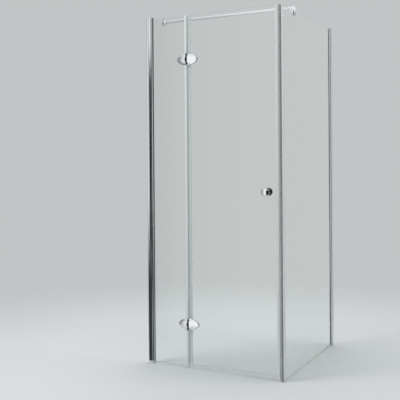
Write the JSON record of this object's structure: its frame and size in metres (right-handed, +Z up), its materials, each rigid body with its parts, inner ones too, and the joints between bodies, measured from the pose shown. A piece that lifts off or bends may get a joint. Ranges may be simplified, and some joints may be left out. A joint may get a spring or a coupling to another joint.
{
  "type": "hinged shower door",
  "caption": "Glass shower door on oval cover hinges, between a fixed panel and a return panel, with wall profiles, magnet seals and a stabiliser bar.",
  "frame": {"origin": "centre of the bounding box's underside, on the tray's surface", "axes": "+X along the front from the left wall towards the return panel, +Y from the front into the shower, +Z up"},
  "size_m": [0.846, 0.892, 2.03],
  "materials": {
    "toughened_glass": "clear toughened float glass, polished edges",
    "anodised_channel": "bright anodised extrusion",
    "polished_profile": "chemically polished and anodised extrusion",
    "chrome_plate": "polished chrome plate on zinc or brass",
    "stainless_steel": "turned stainless steel",
    "clear_vinyl": "clear extruded vinyl",
    "soft_gasket": "soft grey gasket",
    "magnet_strip": "dark bonded ferrite strip",
    "white_nylon": "moulded natural nylon"
  },
  "bodies": {
    "frame": {"front_wall_channel": "anodised_channel", "front_glazing_profile": "polished_profile", "front_glazing_gaskets": "soft_gasket", "front_lock_screws": "stainless_steel", "front_profile_cap": "polished_profile", "fixed_panel_glass": "toughened_glass", "fixed_panel_foot_strip": "clear_vinyl", "hinge_gap_seal": "clear_vinyl", "upper_fixed_cover": "chrome_plate", "lower_fixed_cover": "chrome_plate", "upper_fixed_clamp_plate": "chrome_plate", "lower_fixed_clamp_plate": "chrome_plate", "fixed_cover_gaskets": "soft_gasket", "fixed_clamp_sleeves": "white_nylon", "fixed_clamp_screws": "stainless_steel", "upper_hinge_pin": "stainless_steel", "lower_hinge_pin": "stainless_steel", "hinge_pin_caps": "chrome_plate", "side_wall_channel": "anodised_channel", "side_glazing_profile": "polished_profile", "side_glazing_gaskets": "soft_gasket", "side_lock_screws": "stainless_steel", "side_profile_cap": "polished_profile", "side_panel_glass": "toughened_glass", "side_panel_foot_strip": "clear_vinyl", "strike_seal": "clear_vinyl", "strike_magnet": "magnet_strip", "stabiliser_bar": "chrome_plate", "bar_end_cap": "chrome_plate", "bar_wall_flange": "chrome_plate", "bar_set_screw": "stainless_steel", "bar_glass_clamp": "chrome_plate", "bar_clamp_pads": "soft_gasket", "bar_clamp_grub_screw": "stainless_steel", "bar_fixing_screw": "stainless_steel"},
    "door": {"door_glass": "toughened_glass", "upper_door_cover": "chrome_plate", "lower_door_cover": "chrome_plate", "upper_door_clamp_plate": "chrome_plate", "lower_door_clamp_plate": "chrome_plate", "door_cover_gaskets": "soft_gasket", "door_clamp_sleeves": "white_nylon", "door_clamp_screws": "stainless_steel", "hinge_bushes": "white_nylon", "outer_knob": "chrome_plate", "inner_knob": "chrome_plate", "knob_stud": "stainless_steel", "knob_washers": "soft_gasket", "knob_sleeve": "white_nylon", "door_magnet_seal": "clear_vinyl", "door_magnet": "magnet_strip", "door_drip_seal": "clear_vinyl"}
  },
  "joints": [
    {"name": "door_swing", "type": "hinge", "parent": "frame", "child": "door", "pos_m": [-0.16, -0.417, 1], "axis": [0, 0, -1], "range_deg": [0, 110]}
  ]
}
